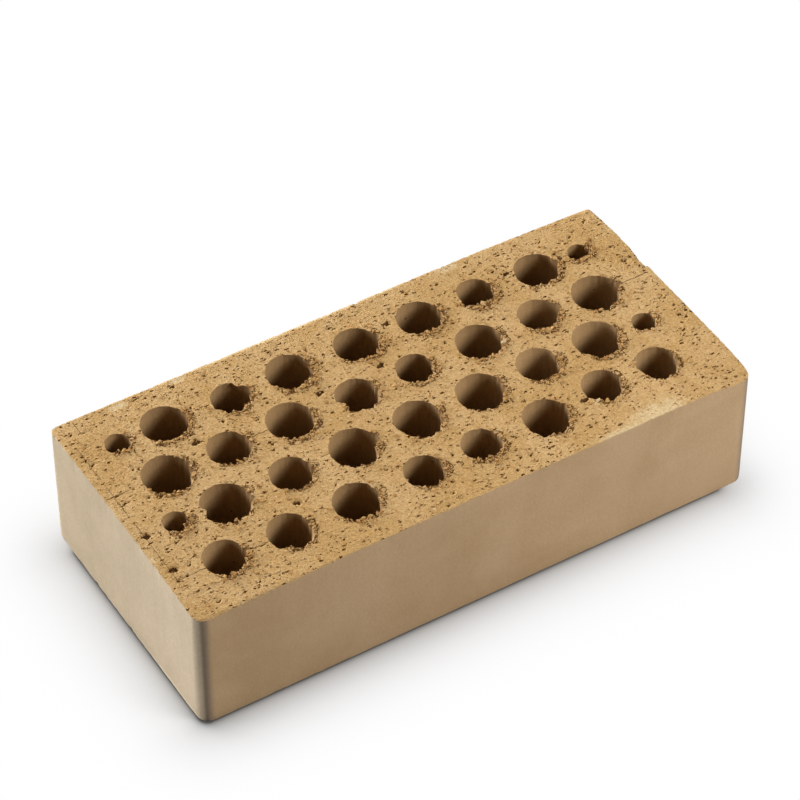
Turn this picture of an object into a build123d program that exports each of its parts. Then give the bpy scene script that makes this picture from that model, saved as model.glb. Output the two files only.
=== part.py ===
# Perforated facing brick of fired clay, in millimetres: one column of clay pushed through a
# die with 34 cores and cut off by wires, so it is one solid with the same section all the
# way up. The origin is the middle of the bed it lies on, +X runs along the brick, +Z is up.

import os

from build123d import *

# Outside of the fired brick
length = 228.0
width = 107.0
height = 54.0

# The die's worn corners leave the four upright edges unlike each other, and the cutting wires
# leave a worn edge round both beds
front_left_radius = 4.6
front_right_radius = 5.0
back_right_radius = 1.4
back_left_radius = 2.4
arris_radius = 0.8

# Diameters of the three kinds of core that leave the holes
large_core = 17.5
medium_core = 15.0
small_core = 9.0

# Holes, back row first. A row has its place across the brick, as a share of half the width,
# and each hole its place along the brick, as a share of half the length. The clay pulled the
# cores a little off their places, most of all the last two of the front row.
hole_rows_shares = (
    (
        0.646,
        (
            (-0.849, small_core),
            (-0.685, large_core),
            (-0.452, medium_core),
            (-0.239, large_core),
            (0.004, large_core),
            (0.239, large_core),
            (0.456, medium_core),
            (0.682, large_core),
            (0.845, small_core),
        ),
    ),
    (
        0.236,
        (
            (-0.784, large_core),
            (-0.567, medium_core),
            (-0.345, large_core),
            (-0.110, medium_core),
            (0.107, medium_core),
            (0.343, large_core),
            (0.572, medium_core),
            (0.785, large_core),
        ),
    ),
    (
        -0.177,
        (
            (-0.857, small_core),
            (-0.690, large_core),
            (-0.458, medium_core),
            (-0.236, large_core),
            (-0.005, large_core),
            (0.226, large_core),
            (0.446, medium_core),
            (0.668, large_core),
            (0.840, small_core),
        ),
    ),
    (
        -0.607,
        (
            (-0.802, medium_core),
            (-0.582, medium_core),
            (-0.347, large_core),
            (-0.106, medium_core),
            (0.104, medium_core),
            (0.341, large_core),
        ),
    ),
    (
        -0.553,
        (
            (0.565, medium_core),
            (0.769, medium_core),
        ),
    ),
)

os.makedirs("parts", exist_ok=True)

with BuildPart() as brick:
    # Section of the clay as it leaves the die
    with BuildSketch(Plane.XY) as section:
        Rectangle(length, width)
        for side_x, side_y, radius in (
            (-1, -1, front_left_radius),
            (1, -1, front_right_radius),
            (1, 1, back_right_radius),
            (-1, 1, back_left_radius),
        ):
            corner = (side_x * length / 2, side_y * width / 2)
            fillet(section.vertices().sort_by_distance(corner)[0], radius)
        for row_share, holes in hole_rows_shares:
            for hole_share, core in holes:
                with Locations((hole_share * length / 2, row_share * width / 2)):
                    Circle(core / 2, mode=Mode.SUBTRACT)
    extrude(amount=height)

    # Worn edges round the two cut faces, the rims of the holes stay sharp
    beds = brick.faces().filter_by(Axis.Z).sort_by(Axis.Z)
    edges = beds[0].outer_wire().edges() + beds[-1].outer_wire().edges()
    fillet(edges, arris_radius)

brick.part.label = "brick"
export_step(brick.part, "parts/brick.step")
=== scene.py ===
# Perforated clay brick: the finish of a brick that was extruded, cut by wires and fired.
# The clay is in millimetres until putMesh turns it into metres, and all else is in metres.
from functools import partialmethod, reduce
import bpy
import numpy as np
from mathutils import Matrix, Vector


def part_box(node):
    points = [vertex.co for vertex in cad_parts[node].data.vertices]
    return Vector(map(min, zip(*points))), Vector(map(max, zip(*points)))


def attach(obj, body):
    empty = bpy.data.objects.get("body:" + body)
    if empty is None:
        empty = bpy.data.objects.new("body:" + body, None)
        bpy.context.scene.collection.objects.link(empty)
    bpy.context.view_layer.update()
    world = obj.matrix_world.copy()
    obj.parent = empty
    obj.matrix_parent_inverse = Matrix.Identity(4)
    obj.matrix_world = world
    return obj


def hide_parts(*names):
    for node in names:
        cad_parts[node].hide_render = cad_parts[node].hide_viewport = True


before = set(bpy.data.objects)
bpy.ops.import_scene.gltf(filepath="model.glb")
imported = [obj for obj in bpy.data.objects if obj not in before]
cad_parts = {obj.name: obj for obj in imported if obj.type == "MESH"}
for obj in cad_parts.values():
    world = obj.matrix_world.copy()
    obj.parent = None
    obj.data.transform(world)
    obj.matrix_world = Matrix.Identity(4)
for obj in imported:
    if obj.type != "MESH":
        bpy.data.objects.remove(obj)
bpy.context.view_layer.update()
print("frame loaded")

tau = 2 * np.pi
lowCorner, highCorner = (1000 * np.array(corner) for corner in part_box("brick"))
brickLength, brickWidth, brickHeight = highCorner - lowCorner
halfLength, halfWidth = brickLength / 2, brickWidth / 2


# The section, as the die left it

# Radii of the upright corners, on the left front and back, and on the right front and back
cornerRadii = np.array(((4.6, 2.4), (5.0, 1.4)))
coreDiameters = {"l": 17.5, "m": 15.0, "s": 9.0}

# Rows from the back: place across as a share of half the width, the cores, large, medium and
# small, and their places along as shares of half the length
holeRowsShares = (
    (0.646, "slmlllmls", (-0.849, -0.685, -0.452, -0.239, 0.004, 0.239, 0.456, 0.682, 0.845)),
    (0.236, "lmlmmlml", (-0.784, -0.567, -0.345, -0.110, 0.107, 0.343, 0.572, 0.785)),
    (-0.177, "slmlllmls", (-0.857, -0.690, -0.458, -0.236, -0.005, 0.226, 0.446, 0.668, 0.840)),
    (-0.607, "mmlmml", (-0.802, -0.582, -0.347, -0.106, 0.104, 0.341)),
    (-0.553, "mm", (0.565, 0.769)),
)
holes = np.array([
    (share * halfLength, rowShare * halfWidth, coreDiameters[core] / 2)
    for rowShare, cores, shares in holeRowsShares for core, share in zip(cores, shares)
])


def cornerRadius(x, y):
    # Radius of the upright corner in the same quarter of the brick
    return cornerRadii[(x >= 0).astype(int), (y >= 0).astype(int)]


def inwardOf(x, y):
    # Distance inside the outline with its round corners
    radius = cornerRadius(x, y)
    overX, overY = abs(x) - halfLength + radius, abs(y) - halfWidth + radius
    past = np.hypot(np.maximum(overX, 0), np.maximum(overY, 0))
    return radius - np.where(past > 0, past, np.maximum(overX, overY))


# Noise and scatter, worked out for whole arrays of places

def clayNoise(x, y, size, seed):
    # A random slope at each knot of a square lattice, and between the knots the heights of the
    # four slopes, blended by 6t^5 - 15t^4 + 10t^3. About -1 to 1.
    turn = np.random.default_rng(seed).uniform(0, tau, (256, 256))
    u, v = x / size, y / size
    i, j = np.floor(u).astype(int), np.floor(v).astype(int)
    s, t = u - i, v - j

    def slope(di, dj):
        a = turn[(i + di) % 256, (j + dj) % 256]
        return np.cos(a) * (s - di) + np.sin(a) * (t - dj)

    fade = lambda k: k * k * k * (k * (6 * k - 15) + 10)
    low = slope(0, 0) + fade(s) * (slope(1, 0) - slope(0, 0))
    high = slope(0, 1) + fade(s) * (slope(1, 1) - slope(0, 1))
    return 1.5 * (low + fade(t) * (high - low))


def scatteredDomes(x, y, spacing, radii, chance, seed):
    # One spot to a lattice cell, at a random place in it, if a die roll allows. The value is the
    # highest of the spots' 1 - (distance / radius)^2, times their share of the largest radius.
    dice = np.random.default_rng(seed)
    offX, offY, size, roll = dice.uniform(0, 1, (4, 256, 256))
    i, j = (np.floor(place / spacing).astype(int) - 1 for place in (x, y))
    value = np.zeros_like(x)
    for di, dj in np.ndindex(3, 3):
        a, b = (i + di) % 256, (j + dj) % 256
        radius = radii[0] + (radii[1] - radii[0]) * size[a, b] ** 2
        across = x - (i + di + offX[a, b]) * spacing
        along = y - (j + dj + offY[a, b]) * spacing
        dome = 1 - (across ** 2 + along ** 2) / radius ** 2
        value = np.maximum(value, np.where(roll[a, b] < chance, dome, 0) * radius / radii[1])
    return value


def ease(value, low, high):
    # 0 below low, 1 above high, and 3t^2 - 2t^3 between
    t = np.clip((value - low) / (high - low), 0, 1)
    return t * t * (3 - 2 * t)


def nearestHole(x, y):
    # Distance outside the nearest rim, that hole's number, and the bearing from its middle
    away = np.hypot(x[..., None] - holes[:, 0], y[..., None] - holes[:, 1]) - holes[:, 2]
    which = np.argmin(away, axis=-1)
    bearing = np.arctan2(y - holes[which, 1], x - holes[which, 0])
    return np.take_along_axis(away, which[..., None], -1)[..., 0], which, bearing


# The cut beds

bedAbove = {
    "cell": 0.5,
    "below": 0.75,  # depth of the flat clay under its highest points
    "swell": 0.035,
    "grain": 0.014,
    "crevice": 0.6,  # depth of the torn crevices
    "ridge": 0.45,  # height of the flakes that the wire pushed up beside the holes
    "lump": 0.26,
    "rimReach": 1.0,
    "edgeWear": 0.25,
    "depths": (0.02, 3.2),  # least and most under the highest points
    "underRims": (2.2, 0.7, 9.0),  # most depth of a rim, share of its offset that is left a
    "underEdge": (2.8, 0.5, 4.0),  # step down, and the depth from which nothing is left of it
    "dragBearing": np.radians(-62),  # the wire left the holes on this side
    "seed": 11,
}
bedBelow = {
    "cell": 1.8,
    "below": 0.35,
    "swell": 0.1,
    "grain": 0.05,
    "crevice": 0.3,
    "ridge": 0.1,
    "lump": 0.1,
    "rimReach": 0.35,
    "edgeWear": 0.12,
    "depths": (0.0, 1.8),
    "underRims": (1.8, 0.5, 4.0),
    "underEdge": (1.8, 0.5, 4.0),
    "dragBearing": np.radians(110),
    "seed": 47,
}

# Flaps of clay that reach into a hole, and bites out of its rim, which have a reach below 0: the
# hole's number from the back left, bearing, width, reach
flaps = (
    (0, -115, 28, 1.6), (0, -20, 28, -0.8), (1, -85, 20, 1.0), (2, -140, 20, 1.3),
    (2, -70, 28, 1.6), (2, -5, 55, -1.0), (2, 35, 26, 1.3), (3, -70, 40, 1.4), (4, -100, 55, 0.8),
    (4, -5, 28, -1.1), (5, -100, 55, 1.2), (6, -155, 20, -1.3), (6, -95, 28, 1.8),
    (7, -105, 15, 1.2), (7, -10, 15, -1.5), (8, -85, 55, 1.2), (9, -65, 28, -1.0),
    (10, -20, 28, -1.3), (12, -155, 28, 2.7), (13, -85, 28, 1.0), (13, -25, 40, 1.8),
    (14, -90, 20, 1.0), (15, 0, 28, -1.7), (16, -65, 28, 1.2), (16, -5, 20, -1.8),
    (17, -50, 15, 1.9), (18, -175, 20, 1.9), (18, -15, 15, -1.3), (19, -130, 15, 1.3),
    (19, -20, 15, -1.4), (20, -90, 55, -0.6), (20, -35, 20, 2.0), (20, -5, 20, -1.3),
    (21, -145, 55, 0.9), (21, -75, 40, -0.8), (22, -50, 28, 0.9), (24, -140, 28, 0.9),
    (24, -40, 40, 1.4), (25, -75, 55, 0.7), (27, -115, 20, 1.6), (27, -90, 20, -1.1),
    (28, -85, 15, 1.3), (28, -60, 28, -0.9), (30, -90, 20, 1.5), (31, -125, 15, -1.2),
    (32, -95, 20, -1.1), (33, -160, 28, 1.1), (33, -110, 28, -0.9),
)

# What the wire and the firing did to each rim above: how far it lies towards the back of the
# stated hole, and how much wider it is
rimShifts = np.array((
    (0.5, 0.4, -0.4, 0.3, -0.1, 0.0, 1.0, -0.6, -0.6, 0.2, 0.1, 0.7, -0.7, 0.2, 0.1, 1.0, -0.6,
     0.9, -0.5, 0.0, -0.5, 0.0, -0.1, 1.3, 1.1, -0.4, 0.9, -0.4, -0.4, -0.1, 0.6, -0.1, 0.2,
     -0.4),
    (0.0, -0.2, -0.3, -0.2, -0.5, -0.4, -0.8, -0.4, -0.5, 0.2, 0.3, 0.0, 0.5, -0.4, -0.2, 0.0,
     0.3, 0.0, 0.3, 0.3, 0.3, 0.1, 0.3, 0.4, 0.2, -0.1, 0.1, 0.5, -0.2, -0.2, -0.3, -0.1, 0.0,
     0.3),
))

# Pits in the bed above: for each radius, the places of its pits
pitPlaces = {
    0.8: (
        (-81.9, 50.4), (-78.5, 46.3), (-108.7, 46.7), (-104.3, 45.4), (-107.6, 38.9),
        (-110.3, 34.8), (-111.2, 33), (-109.5, 29.2), (-98.1, 20.8), (-108.1, 7.5), (-100.2, 6.1),
        (-99.4, 16), (-76.3, 16.3), (-78, 12.7), (-66.1, 37), (-59.9, 25.2), (-48.9, 19.6),
        (-41.7, 42), (-66.5, 49.5), (-53.9, 49.1), (-50.8, 6.2), (-71.9, 24.9), (-23.5, 49),
        (14.5, 49), (29.6, 49), (-2.4, 45.4), (-28.3, 45.7), (-16.5, 41.1), (69.8, 48),
        (79.1, 45.4), (57.6, 50.7), (97.8, 42.3), (111.8, 44.2), (100.6, 44.8), (92.7, 41.7),
        (101.9, 25.5), (107.8, 23.6), (107.9, 21.6), (107.8, 19.9), (86.9, 29.2), (81.9, 24.6),
        (112.5, 14.3), (-103.7, -28.7), (-102.2, -17.7), (-93.7, -16.8), (-106.8, -33.1),
        (-86.3, -47.8), (-82.8, -47), (-102.5, -48.2), (-88.1, -49.8), (-77.9, -34.2),
        (-79.4, -27.4), (-66, -22.7), (-52.3, -46.4), (-39.8, -48.8), (-89.7, -23), (-44.5, -7.8),
        (7.8, -23.6), (-1.7, -27.4), (0.6, -31.4), (0.9, -37), (-6.2, -41.8), (-9.3, -47),
        (-13.9, -51.5), (16.1, -49.2), (23.7, -45.7), (24, -35.5), (24.3, -49.2), (31.2, -46),
        (39.6, -47), (20, -44.5), (-23, -25.5), (-17.1, -10.9), (109.3, -0.9), (109.5, -3.1),
        (110.6, -15.6), (112.2, -12.4), (101.6, -24.9), (105.6, -20.8), (108.4, -28.1),
        (111.5, -32), (104.1, -38.6), (98.1, -40.4), (110.8, -47.6), (92.1, -50.5), (99.8, -51.6),
        (89.7, -47.4), (77.3, -43.6), (69.9, -44.1), (50.2, -38.9), (39.6, -46.7), (53, -48.2),
        (46.1, -24.4),
    ),
    1.1: (
        (67, 37.9), (-57.6, -23),
    ),
    1.35: (
        (-73.3, 20.7), (15.6, 37.9), (-23.4, 19.6), (2.5, 20.5), (-109.6, -9.6), (-109.3, -28),
        (55.1, -32.7),
    ),
}


def rimOffset(which, bearing, bed):
    # How far the torn rim stands off the core's circle: noise along the rim, stronger where the
    # wire left the hole, the rim's own shift and the wear of its front side, less the flaps,
    # each a smooth bump in bearing
    run = holes[which, 2] * bearing
    torn = 0.16 + 0.84 * ease(np.cos(bearing - bed["dragBearing"]), -0.15, 0.6)
    rough = clayNoise(run + 40 * which, 3.3 * which, 2.6, bed["seed"])
    rough = rough + 1.1 * clayNoise(run + 40 * which, 5.7 * which, 1.2, bed["seed"] + 1)
    offset = bed["rimReach"] * torn * (rough - 0.1)
    if bed is bedAbove:
        offset = offset + rimShifts[0, which] * np.sin(bearing) + rimShifts[1, which]
        offset = offset + 0.9 * ease(np.cos(bearing + np.radians(105)), -0.1, 0.9)
        for number, side, width, reach in flaps:
            gap = np.abs((bearing - np.radians(side) + np.pi) % tau - np.pi)
            bump = 1 - ease(gap, 0, np.radians(width))
            offset = offset - np.where(which == number, reach * bump, 0)
    return offset


# The one larger bite in the edge above: x from which it begins and is full, y from which it
# begins, is full and ends, and its depth in edge wears
edgeBite = {"x": (111, 112.5), "y": (13.5, 15.5, 27), "depth": 4.5}


def edgeOffset(x, y, bed):
    # Wear of the outer edge, inwards only: noise, with small chips where a finer noise is high,
    # fewer in front, and one larger bite
    fine = 0.9 * clayNoise(x, y, 1.4, bed["seed"] + 3)
    fine = fine + 2.2 * ease(clayNoise(x, y, 1.7, bed["seed"] + 15), 0.4, 0.75)
    wear = 0.4 + 0.6 * clayNoise(x, y, 5.0, bed["seed"] + 2) + fine * (1 - 0.65 * ease(-y, 48, 52))
    wear = np.clip(wear, 0.1, 3)
    if bed is bedAbove:
        start, full, end = edgeBite["y"]
        bite = ease(x, *edgeBite["x"]) * ease(y, start, full) * (1 - ease(y, full, end))
        wear = wear + edgeBite["depth"] * bite
    return -bed["edgeWear"] * wear


# Where the bed above sags towards a corner or an edge: x, y, depth, reach along the brick and
# across it, and the depth by which the arris itself is worn there
sagPlaces = (
    (-114, -53.5, 1.5, 90, 62, 0.45), (114, -53.5, 1.5, 34, 24, 0.6),
    (114, 53.5, 0.9, 70, 20, 0.8), (0, 53.5, 0.0, 400, 8, 0.3),
)


def sag(x, y):
    # Depth under the flat bed. Each place adds depth * (1 - distance / reach)^2. The arris is worn
    # by the deepest of the straight falls of the places' wear, times (1 - distance from the
    # outline / a band as wide as the wear and a part more)^2.
    leastWear, band = 0.12, 0.8
    broad, wear = np.zeros_like(x), np.full_like(x, leastWear)
    for placeX, placeY, depth, reachX, reachY, worn in sagPlaces:
        near = np.clip(1 - np.hypot((x - placeX) / reachX, (y - placeY) / reachY), 0, 1)
        broad = broad + depth * near ** 2
        wear = np.maximum(wear, worn * near)
    return broad + wear * np.clip(1 - inwardOf(x, y) / (band + wear), 0, 1) ** 2


def dragShare(away, bearing, bed):
    # 1 beside a hole on the side where the wire left it, and 0 away from it
    side = ease(np.cos(bearing - bed["dragBearing"]), -0.45, 0.55)
    return side * (1 - ease(away, 0.6, 5.0))


# Chalky patches beside the edges: x, y, half length along the brick, half width
chalkPlaces = (
    (74, -51.5, 15, 6.5), (58, -53, 12, 2.5), (-88, 51, 5, 2.5), (-63.5, 51.5, 5, 2),
    (50, 51.5, 6, 2), (-20, 54, 95, 2.2), (-112.8, -20.5, 1.2, 2.2),
)


def chalkShare(x, y):
    # 1 in the middle of a chalky patch and 0 past its oval, with noise that breaks it up
    share = np.zeros_like(x)
    for middleX, middleY, halfX, halfY in chalkPlaces:
        share = np.maximum(share, 1 - np.hypot((x - middleX) / halfX, (y - middleY) / halfY))
    return ease(share * (1 + 0.5 * clayNoise(x, y, 3.4, 71)), 0.0, 0.7)


def bedHeight(x, y, bed):
    # Height of the cut clay over its flat part, how hollow it is, and how clumped. The flat part
    # has a slow swell and grain. Clay is clumped in patches beside the holes, where the wire
    # dragged it. Crevices open where a noise drawn out along the brick is high, and more of them
    # where clay is clumped or gouged. Flakes lie one behind the other round the side where the
    # wire left a hole, each a thin lip with a drop behind it. Lumps stand between them, and pits
    # are left where grains fell out. Near the front edge, to the right, the clay is smooth.
    seed = bed["seed"]

    def rough(size, extra, u=x, v=y):
        return clayNoise(u, v, size, seed + extra)

    away, which, bearing = nearestHole(x, y)
    drag = dragShare(away, bearing, bed)
    clumped = ease(1.6 * drag + 0.7 * rough(4.5, 19, x / 1.3), 0.75, 1.35)
    clumped = clumped * (1 - chalkShare(x, y))
    bentX = x + 0.5 * rough(1.7, 20)
    bentY = y + 0.5 * rough(1.7, 21)
    swell = rough(30.0, 4) + 0.4 * rough(9.0, 5)
    grain = rough(1.2, 12)
    inside = ease(np.minimum(halfLength - abs(x), halfWidth - abs(y)), -0.3, 0.6)

    ends = ease(abs(x), 75, 110)
    patch = 0.5 + 0.5 * rough(13.0, 14)
    smooth = ease(x, 20, 60) * ease(-y, 42, 48)
    gouge = np.zeros_like(x)
    if bed is bedAbove:
        for radius, places in pitPlaces.items():
            for pitX, pitY in places:
                near = ((bentX - pitX) ** 2 / 2.2 + (bentY - pitY) ** 2) / (1.5 * radius) ** 2
                gouge = np.maximum(gouge, (1 - near) * min(radius, 1.0))
    needed = 0.78 - 0.26 * clumped - 0.08 * ends - 0.12 * patch - 0.5 * gouge + 0.5 * smooth
    torn = ease(rough(1.15, 6, bentX / 1.8, bentY), needed, needed + 0.25)
    small = rough(0.95, 16, bentX / 1.2, bentY)
    torn = inside * np.maximum(torn, ease(small, needed + 0.08, needed + 0.35))

    phase = away / 2.1 + 0.55 * rough(3.0, 13) + 0.31 * which
    saw = phase - np.floor(phase)
    band = drag * (1 - ease(away, 2.2, 5.5))
    flake = band * ease(rough(3.4, 17), -0.3, 0.3)
    flake = flake * saw ** 3 * (1 - ease(saw, 0.85, 0.98))
    lumps = scatteredDomes(bentX / 1.5, bentY, 1.5, (0.5, 1.0), 0.7, seed + 8)
    crumbs = (1 - smooth) * scatteredDomes(bentX, bentY, 2.6, (0.3, 0.7), 0.3, seed + 9)
    pits = scatteredDomes(bentX / 1.4, bentY, 6.0, (0.3, 0.8), 0.25, seed + 10)
    pits = (1 - smooth) * np.maximum(0.8 * pits, 1.3 * gouge - 0.55)
    pits = inside * ease(pits * (1 + 0.9 * rough(0.9, 18)), 0.15, 0.6)

    height = bed["swell"] * swell + bed["grain"] * (1 + 4 * clumped) * grain
    height = height + bed["ridge"] * (flake + 0.1 * band)
    height = height + bed["lump"] * inside * (clumped * lumps + 0.25 * crumbs)
    hollow = np.maximum(pits, 0.85 * torn)
    if bed is bedAbove:
        height = height - sag(x, y)
    return height - bed["crevice"] * torn - 0.8 * pits, hollow, clumped


def bedGrid(bed):
    # A square grid over the bed, less the cells whose middles lie in a hole or past a corner.
    # Points on the edge of what is left move out to the torn rim or the worn edge, and the
    # rest follow by Laplace's rule: each moves by the mean of its four neighbours' moves.
    counts = round(brickLength / bed["cell"]), round(brickWidth / bed["cell"])
    x, y = np.meshgrid(
        np.linspace(lowCorner[0], highCorner[0], counts[0] + 1),
        np.linspace(lowCorner[1], highCorner[1], counts[1] + 1), indexing="ij",
    )
    middleX, middleY = (x[1:, 1:] + x[:-1, :-1]) / 2, (y[1:, 1:] + y[:-1, :-1]) / 2
    away, _, _ = nearestHole(middleX, middleY)
    clay = (away > 0) & (inwardOf(middleX, middleY) > 0)
    cells = np.pad(clay, 1).astype(int)
    around = cells[:-1, :-1] + cells[1:, :-1] + cells[:-1, 1:] + cells[1:, 1:]
    used, rim = around > 0, (around > 0) & (around < 4)

    rimX, rimY = x[rim], y[rim]
    away, which, bearing = nearestHole(rimX, rimY)
    onHole = away < 1.5 * bed["cell"]
    radius = cornerRadius(rimX, rimY)
    footX = np.clip(rimX, radius - halfLength, halfLength - radius)
    footY = np.clip(rimY, radius - halfWidth, halfWidth - radius)
    outward = np.arctan2(rimY - footY, rimX - footX)
    aim = np.where(onHole, bearing, outward)
    ring = {
        "loop": np.where(onHole, which + 1, 0),
        "order": np.where(onHole, bearing, np.arctan2(rimY / brickWidth, rimX / brickLength)),
        "foot": np.where(onHole[:, None], holes[which, :2], np.stack([footX, footY], 1)),
        "aim": np.stack([np.cos(aim), np.sin(aim)], 1),
        "reach": np.where(onHole, holes[which, 2], radius),
        "offset": np.where(onHole, rimOffset(which, bearing, bed), edgeOffset(rimX, rimY, bed)),
    }
    goal = ring["foot"] + ring["aim"] * (ring["reach"] + ring["offset"])[:, None]
    move = np.zeros((2,) + x.shape)
    move[:, rim] = (goal - np.stack([rimX, rimY], 1)).T
    fixed = move.copy()
    for _ in range(60):
        total, count = np.zeros_like(move), np.zeros_like(x)
        for axis, step in ((0, -1), (0, 1), (1, -1), (1, 1)):
            total += np.roll(move * used, step, axis + 1)
            count += np.roll(used, step, axis)
        move = np.where(rim, fixed, total / np.maximum(count, 1))
    number = np.cumsum(used.ravel()).reshape(used.shape) - 1
    i, j = np.nonzero(clay)
    quads = np.stack([number[i, j], number[i + 1, j], number[i + 1, j + 1], number[i, j + 1]], 1)
    ring["number"] = number[rim]
    order = np.lexsort((ring["order"], ring["loop"]))
    ring = {key: value[order] for key, value in ring.items()}
    return (x + move[0])[used], (y + move[1])[used], quads, ring


def bedSurface(bed):
    # A bed's points, quads and values, with two more rings under its rims: one a step under
    # them, and one where the stated bore or side begins. Levels are the rings' points.
    step = 1.0
    x, y, quads, ring = bedGrid(bed)
    rise, hollow, clumped = bedHeight(x, y, bed)
    rim, onHole = ring["number"], ring["loop"] > 0
    most, left, start = np.where(onHole[:, None], bed["underRims"], bed["underEdge"]).T
    depth = np.clip(bed["below"] - rise, *bed["depths"])
    depth[rim] = np.minimum(depth[rim], most)
    flat = [np.column_stack([x, y])]
    for share in (left, 0.0):
        reach = ring["reach"] + share * ring["offset"]
        flat.append(ring["foot"] + ring["aim"] * reach[:, None])
    depth = np.concatenate([depth, depth[rim] + step, start])
    height = depth if bed is bedBelow else brickHeight - depth
    count = np.arange(len(rim))
    return {
        "points": np.column_stack([np.concatenate(flat), height]), "quads": quads, "ring": ring,
        "levels": [rim, len(x) + count, len(x) + len(rim) + count],
        "hollow": np.pad(hollow, (0, 2 * len(rim))), "clumped": np.pad(clumped, (0, 2 * len(rim))),
    }


def wallBetween(upper, lower, loop):
    # Quads between two rings with the same points, which are sorted by loop, facing out of
    # the clay. The last point of a loop joins its first.
    after = np.arange(len(loop)) + 1
    first = np.searchsorted(loop, np.arange(loop.max() + 2))
    after[first[1:] - 1] = first[:-1]
    quads = np.stack([lower, lower[after], upper[after], upper], 1)
    return np.where(loop[:, None] > 0, quads[:, ::-1], quads)


def zipBetween(upper, upperRing, lower, lowerRing):
    # Triangles between two rings with different points. Going round a loop, the points of both
    # are taken in order of bearing, and each new one closes a triangle with the last of each.
    found = []
    for loop in range(len(holes) + 1):
        a, b = np.nonzero(upperRing["loop"] == loop)[0], np.nonzero(lowerRing["loop"] == loop)[0]
        bearings = np.concatenate([upperRing["order"][a], lowerRing["order"][b]])
        numbers = np.concatenate([upper[a], lower[b]])
        fromUpper = np.arange(len(numbers)) < len(a)
        order = np.argsort(bearings, kind="stable")
        numbers, fromUpper = numbers[order], fromUpper[order]
        lastUpper = upper[a][(np.cumsum(fromUpper) - fromUpper - 1) % len(a)]
        lastLower = lower[b][(np.cumsum(~fromUpper) - ~fromUpper - 1) % len(b)]
        faces = np.stack([lastLower, numbers, lastUpper], 1)
        found.append(faces[:, ::-1] if loop else faces)
    return np.concatenate(found)


def flatFaces(faceSets):
    # The number of corners of each face, and the points of all corners, face after face
    counts = np.concatenate([np.full(len(faces), faces.shape[1]) for faces in faceSets])
    return counts, np.concatenate([faces.ravel() for faces in faceSets])


def putMesh(name, points, faceSets, materials, slots, values, sheet, smooth=True):
    # One mesh from sets of quads and triangles, with a material slot to each face, named
    # values to each point, and a place on the baking sheet to each corner of a face
    counts, corners = flatFaces(faceSets)
    mesh = bpy.data.meshes.new(name)
    mesh.vertices.add(len(points))
    mesh.vertices.foreach_set("co", (points / 1000).astype(np.float32).ravel())
    mesh.loops.add(len(corners))
    mesh.loops.foreach_set("vertex_index", corners.astype(np.int32))
    mesh.polygons.add(len(counts))
    mesh.polygons.foreach_set("loop_start", np.cumsum(counts) - counts)
    for material in materials:
        mesh.materials.append(material)
    mesh.polygons.foreach_set("material_index", slots.astype(np.int32))
    mesh.polygons.foreach_set("use_smooth", np.full(len(counts), smooth))
    mesh.update(calc_edges=True)

    # Edges between two finishes are sharp
    edgeOf = np.zeros(len(corners), np.int32)
    mesh.loops.foreach_get("edge_index", edgeOf)
    cornerSlots = np.repeat(slots, counts)
    least, most = np.full(len(mesh.edges), 99), np.full(len(mesh.edges), -1)
    np.minimum.at(least, edgeOf, cornerSlots)
    np.maximum.at(most, edgeOf, cornerSlots)
    layer = mesh.attributes.new("sharp_edge", "BOOLEAN", "EDGE")
    layer.data.foreach_set("value", least != most)
    layer = mesh.uv_layers.new(name="OFBake")
    layer.data.foreach_set("uv", sheet.astype(np.float32).ravel())
    for key, value in values.items():
        layer = mesh.attributes.new(key, "FLOAT", "POINT")
        layer.data.foreach_set("value", value.astype(np.float32))
    piece = bpy.data.objects.new(name, mesh)
    bpy.context.scene.collection.objects.link(piece)
    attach(piece, "root")
    triangles = int(np.sum(counts - 2))
    print(name, "made,", len(points), "points,", triangles, "triangles")
    return piece


# Where the surfaces lie on the baking sheet, in pixels, with pixels to a millimetre
bakingSheet = {
    "pixels": 1024,
    "above": (8, 8, 4.2),
    "below": (8, 468, 2.4),
    "longSides": ((566, 468, 1.95), (566, 588, 1.95)),
    "ends": ((8, 736, 2.1), (246, 736, 2.1)),
    "bores": (490, 732, 1.0),
    "boreTile": (64, 57),
    "boreRows": 5,
    "boreMargin": 4,
}


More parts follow.
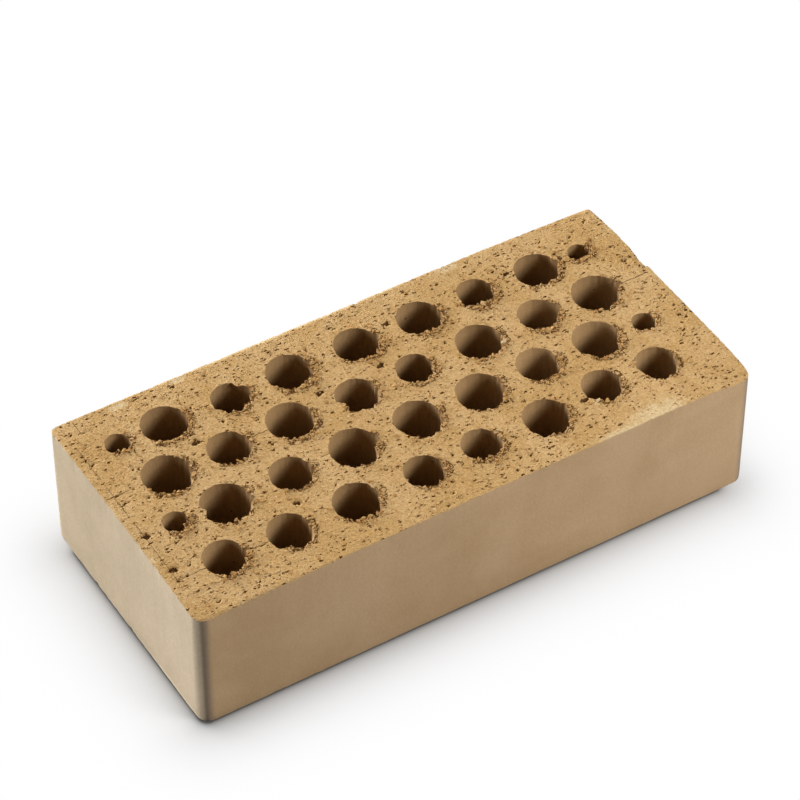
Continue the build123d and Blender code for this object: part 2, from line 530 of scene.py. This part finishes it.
def sheetPlaces(points, faceSets, region, loops):
    # Flat views of the beds and sides, and of each bore unrolled by bearing. Region says which
    # of them each face is in: 0 and 1 the beds, 2 the outside, 3 the bores.
    counts, corners = flatFaces(faceSets)
    faceOf, corner = np.repeat(np.arange(len(counts)), counts), points[corners]
    middle = np.zeros((len(region), 3))
    np.add.at(middle, faceOf, corner)
    middle /= counts[:, None]
    at, mid, kind, loop = corner - lowCorner, middle[faceOf], region[faceOf], loops[faceOf]
    place = np.zeros((len(corner), 2))

    def lay(chosen, box, u, v):
        place[chosen] = np.stack([box[0] + box[2] * u, box[1] + box[2] * v], 1)[chosen]

    lay(kind == 0, bakingSheet["above"], at[:, 0], at[:, 1])
    lay(kind == 1, bakingSheet["below"], at[:, 0], at[:, 1])
    onEnd = abs(mid[:, 0]) - halfLength > abs(mid[:, 1]) - halfWidth
    for side, (longSide, end) in enumerate(zip(bakingSheet["longSides"], bakingSheet["ends"])):
        sign = 2 * side - 1
        lay((kind == 2) & ~onEnd & (sign * mid[:, 1] > 0), longSide, at[:, 0], at[:, 2])
        lay((kind == 2) & onEnd & (sign * mid[:, 0] > 0), end, at[:, 1], at[:, 2])
    hole = holes[np.maximum(loop - 1, 0)]
    bearing = np.arctan2(corner[:, 1] - hole[:, 1], corner[:, 0] - hole[:, 0])
    middleBearing = np.arctan2(mid[:, 1] - hole[:, 1], mid[:, 0] - hole[:, 0])
    bearing = middleBearing + (bearing - middleBearing + np.pi) % tau - np.pi
    column, row = np.divmod(np.maximum(loop - 1, 0), bakingSheet["boreRows"])
    wide, high = bakingSheet["boreTile"]
    left = column * wide + bakingSheet["boreMargin"] + (bearing + np.pi) * hole[:, 2]
    lay(kind == 3, bakingSheet["bores"], left, row * high + at[:, 2])
    return place / bakingSheet["pixels"]


def fillBrick(materials):
    # Both beds and everything between them as one closed surface
    above, below = bedSurface(bedAbove), bedSurface(bedBelow)
    start = len(above["points"])
    below["quads"] = below["quads"][:, ::-1] + start
    below["levels"] = [level + start for level in below["levels"]]
    upper, lower = above["levels"], below["levels"][::-1]
    upperLoops, lowerLoops = above["ring"]["loop"], below["ring"]["loop"]
    walls = [wallBetween(upper[k], upper[k + 1], upperLoops) for k in range(2)]
    walls += [wallBetween(lower[1 - k], lower[2 - k], lowerLoops) for k in range(2)]
    zipped = zipBetween(upper[2], above["ring"], lower[0], below["ring"])
    faceSets = [above["quads"], below["quads"], *walls, zipped]
    bedFaces = len(above["quads"]) + len(below["quads"])
    loops = np.concatenate([np.zeros(bedFaces, int), upperLoops, upperLoops, lowerLoops,
                            lowerLoops, np.sort(np.concatenate([upperLoops, lowerLoops]))])
    number = np.arange(len(loops))
    inBore = np.where(loops > 0, 1, 0)
    slots = np.where(number < bedFaces, 0, 1 + inBore)
    region = np.where(number < bedFaces, number >= len(above["quads"]), 2 + inBore)

    points = np.concatenate([above["points"], below["points"]])
    values = {key: np.concatenate([above[key], below[key]]) for key in ("hollow", "clumped")}
    values["chalky"] = chalkShare(points[:, 0], points[:, 1])
    sheet = sheetPlaces(points, faceSets, region, loops)
    return putMesh("brickClay", points, faceSets, materials, slots, values, sheet)


# Crumbs that the wire pulled out and left lying

crumbTurns, crumbRows = 6, 4  # steps of bearing and latitude
crumbMargin = 0.3  # from the sides of the brick's box
rimCrumbs = {
    "count": 1700,
    "halfSize": (0.16, 0.75),
    "reach": 1.2,  # mean distance from the rim
    "seed": 5,
}
looseCrumbs = {
    "count": 3600,
    "halfSize": (0.12, 0.34),
    "seed": 6,
}


def crumbPlaces(crumbs, besideRims):
    # Places for crumbs: beside the rims, most of them where the wire left the holes, or else
    # anywhere on the bed. Those over a hole or past the edge are left out.
    dice = np.random.default_rng(crumbs["seed"])
    tries = crumbs["count"] * 4
    if besideRims:
        share = np.cumsum(holes[:, 2]) / np.sum(holes[:, 2])
        which = np.searchsorted(share, dice.uniform(0, 1, tries))
        bearing = bedAbove["dragBearing"] + dice.normal(0, 1, tries) * np.radians(52)
        away = dice.exponential(crumbs["reach"], tries) + 0.1
        x = holes[which, 0] + (holes[which, 2] + away) * np.cos(bearing)
        y = holes[which, 1] + (holes[which, 2] + away) * np.sin(bearing)
    else:
        x = dice.uniform(-1, 1, tries) * (halfLength - 1.2)
        y = dice.uniform(-1, 1, tries) * (halfWidth - 1.2)
    away, which, bearing = nearestHole(x, y)
    inside = (abs(x) < halfLength - 1.5) & (abs(y) < halfWidth - 1.5)
    good = inside & (away > rimOffset(which, bearing, bedAbove) + 0.1)
    if besideRims:
        patch = clayNoise(x, y, 4.5, crumbs["seed"] + 30)
        good = good & (patch > dice.uniform(-0.6, 0.5, tries))
    kept = np.nonzero(good)[0][:crumbs["count"]]
    return x[kept], y[kept], dice


def crumbFaces(turns, rows):
    # Quads and pole triangles of a sphere's grid: the numbers of each face's points, where the
    # poles come last, and their bearing and latitude as shares of the whole
    row, turn = np.divmod(np.arange((rows - 2) * turns), turns)
    north, poleTurn = np.divmod(np.arange(2 * turns), turns)
    poleRow = 1 + (rows - 2) * north
    made = []
    for across, up in (
        ((turn, turn + 1, turn + 1, turn), (row + 1, row + 1, row + 2, row + 2)),
        ((poleTurn + 0.5, poleTurn + 1 - north, poleTurn + north),
         (rows * north, poleRow, poleRow)),
    ):
        across, up = np.stack(across, 1), np.stack(up, 1)
        onRing = (up - 1) * turns + across.astype(int) % turns
        numbers = np.where(up % rows == 0, (rows - 1) * turns + (up == rows), onRing)
        made.append((numbers, np.stack([across / turns, up / rows], -1)))
    return made


def scatterCrumbs(name, crumbs, besideRims, material):
    # Each crumb is a sphere's grid of bearing and latitude, its points pushed in and out at
    # random, drawn out along the brick, tilted, turned and nearly half sunk in the bed
    x, y, dice = crumbPlaces(crumbs, besideRims)
    number, turns, rows = len(x), crumbTurns, crumbRows
    low, high = crumbs["halfSize"]
    size = low + (high - low) * dice.uniform(0, 1, number) ** 2.6
    latitude = np.linspace(-np.pi / 2, np.pi / 2, rows + 1)[1:-1, None]
    longitude = np.arange(turns) * tau / turns
    ring = np.broadcast_arrays(np.cos(latitude) * np.cos(longitude),
                               np.cos(latitude) * np.sin(longitude), np.sin(latitude))
    shape = np.concatenate([np.stack(ring, -1).reshape(-1, 3), [(0, 0, -1), (0, 0, 1)]])
    rough = 1 + 0.34 * dice.uniform(-1, 1, (number, len(shape), 1))
    stretch = np.stack([dice.uniform(1.0, 1.9, number), dice.uniform(0.7, 1.0, number),
                        dice.uniform(0.5, 0.85, number)], 1)
    blobs = shape * rough * (stretch * size[:, None])[:, None, :]
    turn, tilt = dice.normal(0, 0.45, (number, 1)), dice.normal(0, 0.35, (number, 1))
    along, across, up = np.moveaxis(blobs, -1, 0)
    tilted = np.cos(tilt) * along + np.sin(tilt) * up
    upward = np.cos(tilt) * up - np.sin(tilt) * along
    rise, _, _ = bedHeight(x, y, bedAbove)
    ground = brickHeight - bedAbove["below"] + np.clip(rise, -0.9, bedAbove["below"] - 0.1)
    points = np.stack([
        x[:, None] + np.cos(turn) * tilted - np.sin(turn) * across,
        y[:, None] + np.sin(turn) * tilted + np.cos(turn) * across,
        ground[:, None] + 0.15 * size[:, None] + upward,
    ], -1)
    points[..., 2] = np.minimum(points[..., 2], brickHeight - 0.02)
    points[..., :2] = np.clip(points[..., :2], lowCorner[:2] + crumbMargin,
                              highCorner[:2] - crumbMargin)

    (quads, quadUv), (caps, capUv) = crumbFaces(turns, rows)
    start = (np.arange(number) * len(shape))[:, None, None]
    faceSets = [(quads[None] + start).reshape(-1, 4), (caps[None] + start).reshape(-1, 3)]

    # On the baking sheet each crumb has a tile, with bearing across it and latitude up it
    tiles = int(np.ceil(np.sqrt(number)))
    tile = np.stack(np.divmod(np.arange(number), tiles), 1)[:, None, None, :]
    sheet = np.concatenate([
        ((tile + 0.08 + 0.84 * uv[None]) / tiles).reshape(-1, 2) for uv in (quadUv, capUv)
    ])
    tone = np.repeat(dice.uniform(0, 1, number), len(shape))
    return putMesh(name, points.reshape(-1, 3), faceSets, [material],
                   np.zeros(number * (len(quads) + len(caps)), int), {"crumbTone": tone}, sheet,
                   smooth=False)


# Shader parts

class Signal:
    # A node's output on its way through a shader tree. Sums, products and comparisons become
    # Math nodes, and an index gives another output of the same node.

    def __init__(self, tree, socket):
        self.tree, self.socket = tree, socket

    def __getitem__(self, key):
        return Signal(self.tree, self.socket.node.outputs[key])

    def maths(self, operation, *values):
        return put(self.tree, "Math", dict(enumerate((self, *values))), operation=operation)

    __add__ = partialmethod(maths, "ADD")
    __sub__ = partialmethod(maths, "SUBTRACT")
    __mul__ = partialmethod(maths, "MULTIPLY")
    __gt__ = partialmethod(maths, "GREATER_THAN")
    __lt__ = partialmethod(maths, "LESS_THAN")
    __abs__ = partialmethod(maths, "ABSOLUTE")
    orMore = partialmethod(maths, "MAXIMUM")

    def joinTo(self, socket):
        self.tree.links.new(self.socket, socket)


def put(tree, kind, inputs, **settings):
    # A node of a kind, with its settings, and each input either joined to a signal or set
    node = tree.nodes.new("ShaderNode" + kind)
    for key, value in settings.items():
        setattr(node, key, value)
    for key, value in inputs.items():
        if isinstance(value, Signal):
            value.joinTo(node.inputs[key])
        else:
            node.inputs[key].default_value = value
    return Signal(tree, node.outputs[0])


def spread(value, low, high, toLow=0.0, toHigh=1.0):
    # toLow below low, toHigh above high, and 3t^2 - 2t^3 between
    ends = {"Value": value, "From Min": low, "From Max": high, "To Min": toLow, "To Max": toHigh}
    return put(value.tree, "MapRange", ends, interpolation_type="SMOOTHSTEP")


def blend(share, first, second, way="MIX"):
    # The first colour with a share of the second, mixed in or multiplied
    tree = (share if isinstance(share, Signal) else first).tree
    return put(tree, "Mix", {0: share, 6: first, 7: second}, data_type="RGBA", blend_type=way)[2]


def noise(place, scale, detail, distortion=0.0):
    # Layered noise, 0 to 1
    given = {"Vector": place, "Scale": scale, "Detail": detail, "Roughness": 0.6,
             "Distortion": distortion}
    return put(place.tree, "TexNoise", given)


def cells(place, scale, **settings):
    # Distance to the nearest of scattered points, or to the border of its cell
    return put(place.tree, "TexVoronoi", {"Vector": place, "Scale": scale}, **settings)


def randomShare(pattern):
    # The random number that a cell pattern gives each of its cells
    return put(pattern.tree, "SeparateColor", {0: pattern["Color"]})


def stretched(place, scales):
    # The place with each axis scaled
    return put(place.tree, "Mapping", {"Vector": place, "Scale": scales})


def newGroup(name, inputs):
    # A shader group and its named inputs, of which Place is a vector
    tree = bpy.data.node_groups.new(name, "ShaderNodeTree")
    for key in inputs:
        kind = "NodeSocketVector" if key == "Place" else "NodeSocketFloat"
        tree.interface.new_socket(key, in_out="INPUT", socket_type=kind)
    return tree, Signal(tree, tree.nodes.new("NodeGroupInput").outputs[0])


def closeGroup(tree, outputs):
    # The group's named outputs, each with the signal that it gives
    for key in outputs:
        tree.interface.new_socket(key, in_out="OUTPUT", socket_type="NodeSocketFloat")
    leave = tree.nodes.new("NodeGroupOutput")
    for key, value in outputs.items():
        value.joinTo(leave.inputs[key])
    return tree


def grainGroup():
    # Sandy grain. Height is two sizes of noise less rounded cells, and tone the noise alone, so
    # the
    # grain is darker where its bump is low: partly its own tone, partly painted shade.
    # Dark marks, painted shade of crevices that the bump only dents, are where a noise drawn out
    # along the brick is high, and crisp specks of two sizes in some cells of a pattern drawn out
    # the same way. Rare cells hold pale grit.
    tree, given = newGroup("sandyGrain", ("Place", "Marks", "Grit"))
    place, marks = given["Place"], given["Marks"]
    coarse, fine = noise(place, 1000.0, 2.0), noise(place, 2300.0, 1.0)
    height = fine * 0.5 + coarse - cells(place, 1250.0) * 0.25

    drawn = stretched(place, (0.55, 1.0, 1.0))
    edge = marks * -0.1 + 0.89
    shadeMark = spread(coarse * 0.35 + noise(drawn, 620.0, 3.0, 0.5), edge, edge + 0.03) * 0.6
    bend = fine * 0.7 - 0.35
    for scale in (560.0, 950.0):
        spots = cells(drawn, scale)
        rare = spread(marks * 0.8 - randomShare(spots), -0.03, 0.16)
        shadeMark = shadeMark.orMore(rare * spread(spots + bend, 0.19, 0.27, 1.0, 0.0))

    grit = cells(place, 480.0)
    pale = (randomShare(grit) < given["Grit"]) * spread(grit, 0.16, 0.3, 1.0, 0.0)
    return closeGroup(tree, {"Height": height - shadeMark * 0.6, "ShadeMark": shadeMark,
                             "Tone": spread(coarse + fine, 0.7, 1.3), "Pale": pale})


def clumpGroup():
    # Clumps of torn clay: cells with bent borders, domed, with painted shade in the gaps between
    # them. They come through where Amount and a noise add up high enough.
    tree, given = newGroup("tornClumps", ("Place", "Amount"))
    place = given["Place"]
    bend = put(tree, "TexNoise", {"Vector": place, "Scale": 900.0, "Detail": 1.0})["Color"]
    bent = put(tree, "VectorMath", {0: bend, 1: (0.0014, 0.0014, 0.0014), 2: place},
               operation="MULTIPLY_ADD")
    edge = cells(bent, 520.0, feature="DISTANCE_TO_EDGE")
    through = spread(noise(place, 420.0, 2.0) * 1.2 + given["Amount"], 1.0, 1.2)
    return closeGroup(tree, {"Height": through * spread(edge, 0.0, 0.35),
                             "GapShade": through * spread(edge, 0.05, 0.12, 1.0, 0.0)})


hairlineInputs = ("Along", "Across", "Line", "Start", "End", "Width", "Bend", "Whole")


def hairlineGroup():
    # A crack along a line of the bed: 1 on the line and 0 a width away from it, with the line
    # bent by noise and broken where a second noise is low
    tree, given = newGroup("hairline", hairlineInputs)
    along, line = given["Along"], given["Line"]
    place = put(tree, "CombineXYZ", {0: along, 1: line})
    bent = (noise(place, 260.0, 3.0) - 0.5) * given["Bend"] + line
    near = spread(abs(given["Across"] - bent), 0.0, given["Width"], 1.0, 0.0)
    inside = (along > given["Start"]) * (along < given["End"])
    whole = spread(given["Whole"] + noise(place, 130.0, 1.0), 0.36, 0.5)
    return closeGroup(tree, {"Crack": near * inside * whole})


def skinGroup():
    # The skin that the die smoothed: streaks in the direction of the push, which is up the
    # brick, soft clouds, and a few dark specks
    tree, given = newGroup("dieSkin", ("Place", "Streaks", "Specks"))
    place = given["Place"]
    streak = noise(stretched(place, (1.0, 1.0, 0.06)), 70.0, 3.0) - 0.5
    mixed = streak * given["Streaks"] + (noise(place, 900.0, 3.0) - 0.5)
    spots = cells(place, 150.0)
    speck = (randomShare(spots) < given["Specks"]) * spread(spots, 0.04, 0.09, 1.0, 0.0)
    cloud = spread(noise(place, 28.0, 3.0, 0.4), 0.3, 0.7)
    return closeGroup(tree, {"Height": mixed, "Tone": spread(mixed, -0.3, 0.3),
                             "Speck": speck, "Cloud": cloud})


def newMaterial(name, roughness, shine=0.25):
    # A material with its roughness and shine, its tree, and the place on the object
    material = bpy.data.materials.new(name)
    material.use_nodes = True
    tree = material.node_tree
    shader = tree.nodes["Principled BSDF"]
    shader.inputs["Roughness"].default_value = roughness
    shader.inputs["Specular IOR Level"].default_value = shine
    return material, tree, put(tree, "TexCoord", {})["Object"]


def dress(tree, colour, height, depth):
    # The material's colour, and a bump with its depth in metres
    inputs = tree.nodes["Principled BSDF"].inputs
    colour.joinTo(inputs["Base Color"])
    given = {"Height": height, "Strength": 1.0, "Distance": depth}
    put(tree, "Bump", given).joinTo(inputs["Normal"])


def shareOf(tree, name):
    # A named value of the mesh
    return put(tree, "Attribute", {}, attribute_name=name)["Fac"]


tornColours = {
    "clay": (0.64, 0.406, 0.174, 1),
    "sandy": (0.71, 0.472, 0.228, 1),
    # Used for warm patches, and as painted shade in the hollows
    "warm": (0.53, 0.285, 0.085, 1),
    # The darkest grain: partly its own tone, partly painted shade where the bump is low
    "shade": (0.76, 0.70, 0.58, 1),  # what the darkest grain leaves of the colour
    # Painted shade for the grain's dark marks and the gaps between clumps
    "crease": (0.105, 0.036, 0.005, 1),
    # Painted shade for pits and cracks
    "pit": (0.075, 0.032, 0.009, 1),
    "grit": (0.66, 0.48, 0.26, 1),
    "chalk": (0.79, 0.61, 0.36, 1),
}

# Cracks in the bed: the axis that they follow and the one across it, how far they bend, how
# whole they are and how much painted shade darkens them, and for each its line, start, end and
# width
hairlines = (
    ("X", "Y", 0.0018, 0.0, 0.8, (
        (0.0122, -0.113, -0.0985, 0.00028), (0.0128, -0.057, -0.0485, 0.00022),
        (0.0112, 0.098, 0.112, 0.00025), (-0.0086, -0.0445, -0.0355, 0.0002),
        (-0.0332, -0.110, -0.0985, 0.0002), (-0.0337, -0.0845, -0.0735, 0.00018),
        (0.0342, 0.086, 0.0925, 0.0002),
    )),
    ("Y", "X", 0.0004, 0.05, 0.45, (
        (-0.1103, -0.035, 0.040, 0.00016), (-0.1055, 0.045, 0.052, 0.00022),
    )),
)


def bedCracks(tree, place, hairline):
    # The darkest of all hairlines, on the bed above alone
    where = put(tree, "SeparateXYZ", {0: place})
    cracks = []
    for axis, other, bend, whole, darkness, lines in hairlines:
        for line in lines:
            given = zip(hairlineInputs, (where[axis], where[other], *line, bend, whole))
            cracks.append(put(tree, "Group", dict(given), node_tree=hairline) * darkness)
    return reduce(Signal.orMore, cracks) * (where["Z"] > 0.03)


def tornClay(grain, clumps, hairline):
    # Patches of two colours, chalky beside the edges, with painted shade, warmer and darker, in
    # the hollows. Over them the sandy grain, and painted shade in its marks, in the gaps between
    # clumps, in pits and in cracks.
    material, tree, place = newMaterial("tornClay", 0.95, 0.03)
    clumped, chalky, hollow = (shareOf(tree, name) for name in ("clumped", "chalky", "hollow"))
    marks = clumped * 0.5 + 0.52 - chalky * 0.9
    sand = put(tree, "Group", {"Place": place, "Grit": 0.03, "Marks": marks}, node_tree=grain)
    clump = put(tree, "Group", {"Place": place, "Amount": clumped}, node_tree=clumps)
    patches = spread(noise(place, 45.0, 2.0), 0.35, 0.65)
    warmth = spread(noise(place, 330.0, 2.0), 0.5, 0.75, 0.0, 0.3)
    colour = blend(patches, tornColours["clay"], tornColours["sandy"])
    colour = blend(warmth, colour, tornColours["warm"])
    colour = blend(chalky * 0.95, colour, tornColours["chalk"])
    # Darker grain where its bump is low: partly its own tone, partly painted shade
    colour = blend(sand["Tone"], blend(1.0, colour, tornColours["shade"], "MULTIPLY"), colour)
    colour = blend(sand["Pale"], colour, tornColours["grit"])
    # Painted shade in the grain's marks and in the gaps between clumps
    colour = blend(sand["ShadeMark"].orMore(clump["GapShade"] * 0.9), colour, tornColours["crease"])
    # Painted shade, warm and darker, in the hollows of pits and crevices
    colour = blend(spread(hollow, 0.1, 0.6, 0.0, 0.5), colour, tornColours["warm"])
    # Painted shade in the deepest pits and crevices
    pit = spread(noise(place, 1400.0, 2.0) * 0.7 + hollow, 0.78, 0.95, 0.0, 0.9)
    colour = blend(pit, colour, tornColours["pit"])
    cracks = bedCracks(tree, place, hairline)
    # Painted shade in the cracks
    colour = blend(cracks, colour, tornColours["pit"])
    height = (clump["Height"] + sand["Height"]) * (chalky * -0.6 + 1.0)
    dress(tree, colour, height - cracks * 2.0, 0.00042)
    return material


crumbColours = {
    "dark": (0.42, 0.225, 0.075, 1),
    "light": (0.62, 0.375, 0.15, 1),
    "pale": (0.64, 0.48, 0.27, 1),
}


def crumbClay(grain):
    # Sandy grain over each crumb's own tone between two colours, with painted shade in the grain's
    # marks, and a few crumbs are pale
    material, tree, place = newMaterial("crumbClay", 0.95, 0.03)
    sand = put(tree, "Group", {"Place": place, "Marks": 0.5, "Grit": 0.02}, node_tree=grain)
    tone = shareOf(tree, "crumbTone")
    colour = blend(tone, crumbColours["dark"], crumbColours["light"])
    colour = blend(tone > 0.98, colour, crumbColours["pale"])
    # Painted shade in the grain's marks
    colour = blend(sand["ShadeMark"] * 0.6, colour, tornColours["crease"])
    dress(tree, colour, sand["Height"], 0.0002)
    return material


skinColours = {
    "side": (0.424, 0.280, 0.149, 1),
    "sidePale": (0.482, 0.329, 0.188, 1),
    # Partly painted shade up the corners, partly a greyer tint of the clay
    "corner": (0.245, 0.185, 0.138, 1),
    "end": (0.452, 0.359, 0.242, 1),
    # Towards the front the ends take more of this pale colour: painted light
    "endPale": (0.61, 0.494, 0.352, 1),
    # Pale band at the foot, towards the front: partly a painted highlight on the bottom arris,
    # partly its wear
    "foot": (0.74, 0.62, 0.45, 1),
    "shade": (0.9, 0.89, 0.87, 1),  # what the darkest streaks leave of the colour
    "speck": (0.13, 0.08, 0.05, 1),
}


def skinClay(skin):
    # The ends are paler than the long sides, and paler still in front, which is painted light,
    # and pale at the foot, partly a painted highlight on the bottom arris and partly its wear. A
    # dark band runs up each corner, on the long side of where both sides are equally far: partly
    # painted shade where the rounded corner turns away from the lamps, partly a greyer tint.
    material, tree, place = newMaterial("skinClay", 0.9)
    given = put(tree, "Group", {"Place": place, "Streaks": 0.3, "Specks": 0.06}, node_tree=skin)
    where = put(tree, "SeparateXYZ", {0: place})
    beyondEnd = abs(where["X"]) - float(halfLength) / 1000
    turned = beyondEnd - (abs(where["Y"]) - float(halfWidth) / 1000)
    side = blend(given["Cloud"], skinColours["side"], skinColours["sidePale"])
    # Partly painted shade where the rounded corner turns away, partly a greyer tint
    side = blend(spread(turned, -0.0055, -0.0015, 0.0, 0.9), side, skinColours["corner"])
    # Clouds, and painted light that makes the ends paler towards the front
    cloudAndFrontLight = given["Cloud"] * 0.4 + 0.35 - where["Y"] * 9.0
    end = blend(cloudAndFrontLight, skinColours["end"], skinColours["endPale"])
    # Partly a painted highlight on the bottom arris, partly its wear
    foot = spread(where["Z"], 0.001, 0.0026, 0.9, 0.0)
    foot = foot * spread(where["Y"], -0.03, -0.005, 1.0, 0.1)
    end = blend(foot, end, skinColours["foot"])
    colour = blend(spread(turned, -0.0014, 0.0008), side, end)
    colour = blend(given["Tone"], blend(1.0, colour, skinColours["shade"], "MULTIPLY"), colour)
    colour = blend(given["Speck"], colour, skinColours["speck"])
    dress(tree, colour, given["Height"], 0.00008)
    return material


boreColours = {
    "clay": (0.425, 0.265, 0.122, 1),
    "dark": (0.355, 0.219, 0.097, 1),
    "speck": (0.08, 0.045, 0.02, 1),
}


def boreClay(skin):
    # The die's streaks in two colours, with dark specks
    material, tree, place = newMaterial("boreClay", 0.95)
    given = put(tree, "Group", {"Place": place, "Streaks": 0.6, "Specks": 0.2}, node_tree=skin)
    colour = blend(given["Tone"], boreColours["dark"], boreColours["clay"])
    colour = blend(given["Speck"], colour, boreColours["speck"])
    dress(tree, colour, given["Height"], 0.00007)
    return material


# Camera, at the place from which the photo was taken

camera = {
    "azimuth": -31.488,
    "elevation": 44.455,
    "distance": 1.36379,
    "target": (0.027385, 0.047694, 0.0),
    "lens": 163.25,
    "sensor": 36.0,
}


def aimFrom(holder, bearing, elevation, distance, target):
    # Places an object out from a target, at a bearing from +X and an elevation, facing it
    bearing, elevation = np.radians(bearing), np.radians(elevation)
    out = Vector((np.cos(bearing) * np.cos(elevation), np.sin(bearing) * np.cos(elevation),
                  np.sin(elevation)))
    holder.location = Vector(target) + distance * out
    holder.rotation_mode = "QUATERNION"
    holder.rotation_quaternion = out.to_track_quat("Z", "Y")
    bpy.context.scene.collection.objects.link(holder)


def setCamera():
    data = bpy.data.cameras.new("camera")
    data.lens, data.sensor_width = camera["lens"], camera["sensor"]
    data.clip_start, data.clip_end = 0.05, 20
    holder = bpy.data.objects.new("camera", data)
    aimFrom(holder, camera["azimuth"] - 90, camera["elevation"], camera["distance"],
            camera["target"])
    bpy.context.scene.camera = holder


# Light: soft boxes, aimed at the brick's middle where nothing else is said
lampTarget, lampDistance = (0, 0, 0.03), 1.1
lamps = {
    "leftBox": {"bearing": 112, "elevation": 14, "size": (0.95, 0.42), "power": 19.8},
    "rightBox": {"bearing": 308, "elevation": 32, "size": (0.5, 0.45), "power": 7.15},
    "nearBox": {"bearing": 298, "elevation": 30, "size": (0.25, 0.25), "power": 0.64,
                "distance": 0.45, "target": (0.114, 0, 0.03)},
    "endBox": {"bearing": 150, "elevation": 14, "size": (0.4, 0.4), "power": 3.9},
    "topBox": {"bearing": 112, "elevation": 84, "size": (0.25, 0.25), "power": 2.8},
}
floorLook = {
    "size": 6.0,
    "colour": (0.6, 0.6, 0.6, 1),
    # A contact shadow painted into the floor's colour close to the brick
    "contact": (0.75, 0.0017),  # share of dark where the brick stands, and its reach in metres
    "halo": (0.79, 0.0145),  # share of floor that the camera sees round the brick, and its reach
    "middle": (-0.005, -0.005, 0),  # of the box that the reach is measured from
    "half": (0.106, 0.0455, 1),
    "corner": 0.003,  # radius of that box's corners, outside of its half sizes
}


def setLamps():
    for name, lamp in lamps.items():
        data = bpy.data.lights.new(name, "AREA")
        data.shape, data.energy = "ELLIPSE", lamp["power"]
        data.size, data.size_y = lamp["size"]
        holder = bpy.data.objects.new(name, data)
        holder.visible_camera = False
        aimFrom(holder, lamp["bearing"], lamp["elevation"], lamp.get("distance", lampDistance),
                lamp.get("target", lampTarget))


def cameraSees(tree):
    # 1 for what the camera sees straight, by a mirror or through glass
    path = put(tree, "LightPath", {})
    seen = path["Is Camera Ray"].orMore(path["Is Glossy Ray"])
    return seen.orMore(path["Is Transmission Ray"])


def setWorld():
    # White where the camera sees it, with no light of its own
    world = bpy.data.worlds.new("studio")
    world.use_nodes = True
    bpy.context.scene.world = world
    tree = world.node_tree
    background = tree.nodes["Background"]
    background.inputs["Color"].default_value = (1, 1, 1, 1)
    cameraSees(tree).joinTo(background.inputs["Strength"])


def setFloor():
    # Away is the distance from a box over the brick's foot. Close to it the camera sees the
    # floor's own shading, with a contact shadow painted into its colour, and further out plain
    # white, in this
    # share of white: 1 - halo * e^-(away / reach)^1.5 - (1 - halo) * e^-(away / contact).
    half = floorLook["size"] / 2
    mesh = bpy.data.meshes.new("floor")
    mesh.from_pydata([(-half, -half, 0), (half, -half, 0), (half, half, 0), (-half, half, 0)], [],
                     [(0, 1, 2, 3)])
    floor = bpy.data.objects.new("floor", mesh)
    bpy.context.scene.collection.objects.link(floor)
    material, tree, away = newMaterial("paleFloor", 0.95)
    zero = (0, 0, 0)
    for operation, other in (("SUBTRACT", floorLook["middle"]), ("ABSOLUTE", zero),
                             ("SUBTRACT", floorLook["half"]), ("MAXIMUM", zero)):
        away = put(tree, "VectorMath", {0: away, 1: other}, operation=operation)
    away = put(tree, "VectorMath", {0: away}, operation="LENGTH")["Value"]
    away = (away - floorLook["corner"]).orMore(0.0)
    dark, contact = floorLook["contact"]
    halo, reach = floorLook["halo"]
    close = (away * (-1 / contact)).maths("EXPONENT")
    wide = ((away * (1 / reach)).maths("POWER", 1.5) * -1.0).maths("EXPONENT")
    share = (close * (halo - 1.0) + (wide * -halo + 1.0)) * cameraSees(tree)
    shader = tree.nodes["Principled BSDF"]
    # Painted contact shadow in the floor's colour
    blend(close * dark, floorLook["colour"], (0, 0, 0, 1)).joinTo(shader.inputs["Base Color"])
    white = put(tree, "Emission", {"Color": (1, 1, 1, 1), "Strength": 1.0})
    clay = Signal(tree, shader.outputs[0])
    mixed = put(tree, "MixShader", {0: share, 1: clay, 2: white})
    mixed.joinTo(tree.nodes["Material Output"].inputs["Surface"])
    mesh.materials.append(material)


grain, clumps, hairline, skin = grainGroup(), clumpGroup(), hairlineGroup(), skinGroup()
torn, crumb = tornClay(grain, clumps, hairline), crumbClay(grain)
print("materials made")
brickPiece = fillBrick([torn, skinClay(skin), boreClay(skin)])
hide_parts("brick")
scatterCrumbs("rimCrumbs", rimCrumbs, True, crumb)
scatterCrumbs("looseCrumbs", looseCrumbs, False, crumb)

setCamera()
setFloor()
setWorld()
setLamps()
bpy.context.scene.view_settings.view_transform = "Standard"
print("stage set")
